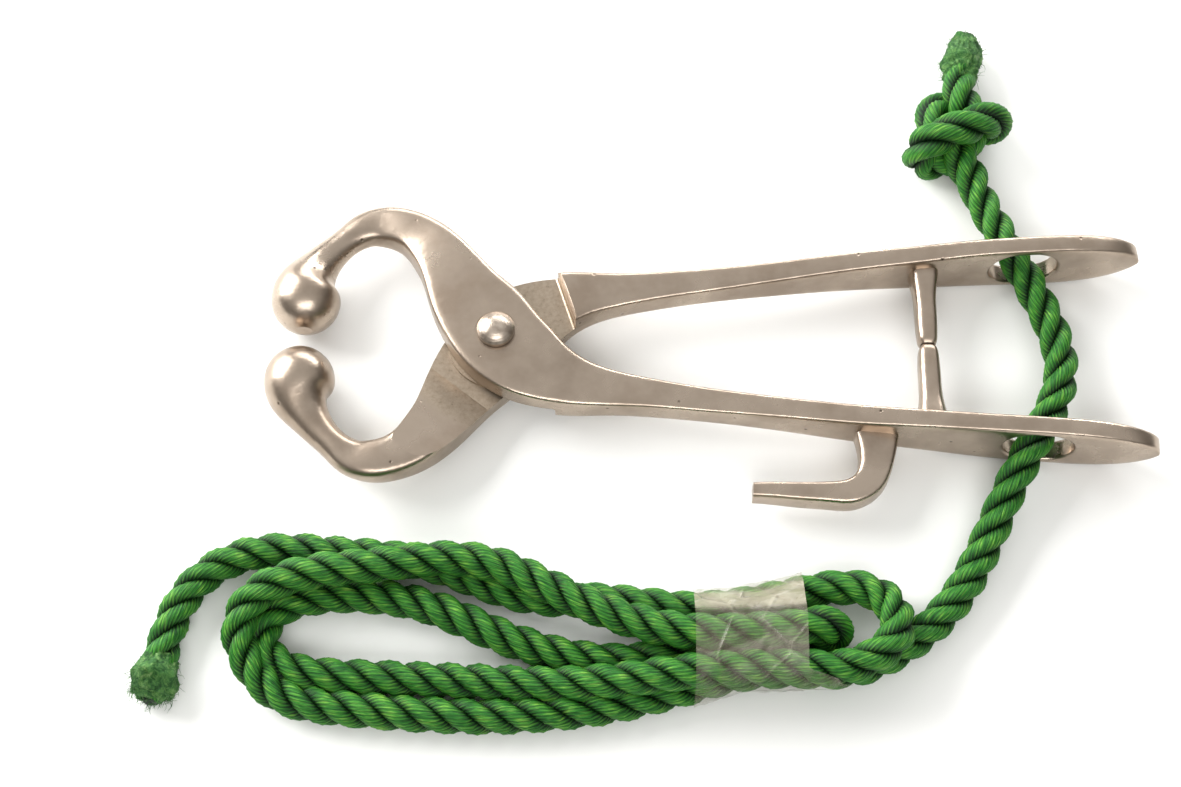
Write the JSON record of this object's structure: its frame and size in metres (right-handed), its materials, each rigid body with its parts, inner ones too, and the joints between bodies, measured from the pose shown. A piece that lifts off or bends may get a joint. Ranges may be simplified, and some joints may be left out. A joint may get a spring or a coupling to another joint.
{
  "type": "bull nose lead",
  "caption": "Cast bull nose lead: two crossed levers on one rivet, ball-ended jaws, stop lugs, an open hook, and a rope through both handles.",
  "frame": {"origin": "centre of the rivet's flat rear head, on the plane the tool lies on", "axes": "+X from the pivot towards the handles, +Y across the tool towards the rear lever's handle, +Z along the pivot axis, out of the surface the tool lies on"},
  "size_m": [0.2703, 0.2145, 0.0214],
  "materials": {
    "nickel_plated_iron": "nickel plated over a tumbled casting, satin bright",
    "nickel_plated_rivet": "nickel plated, bright",
    "green_rope": "three-strand laid polypropylene rope",
    "clear_tape": "clear adhesive tape, slightly wrinkled"
  },
  "bodies": {
    "front": {"front_lever": "nickel_plated_iron", "pivot_rivet": "nickel_plated_rivet", "rope_span": "green_rope", "rope_lead": "green_rope", "rope_hank": "green_rope", "rope_tail": "green_rope", "hank_tape": "clear_tape"},
    "rear": {"rear_lever": "nickel_plated_iron", "stopper_knot": "green_rope", "rope_end": "green_rope", "rope_rear": "green_rope"}
  },
  "joints": [
    {"name": "pivot", "type": "hinge", "parent": "front", "child": "rear", "pos_m": [0, 0, 0.01], "axis": [0, 0, 1], "range_deg": [0, 30], "deforming": ["rope_span"]}
  ]
}
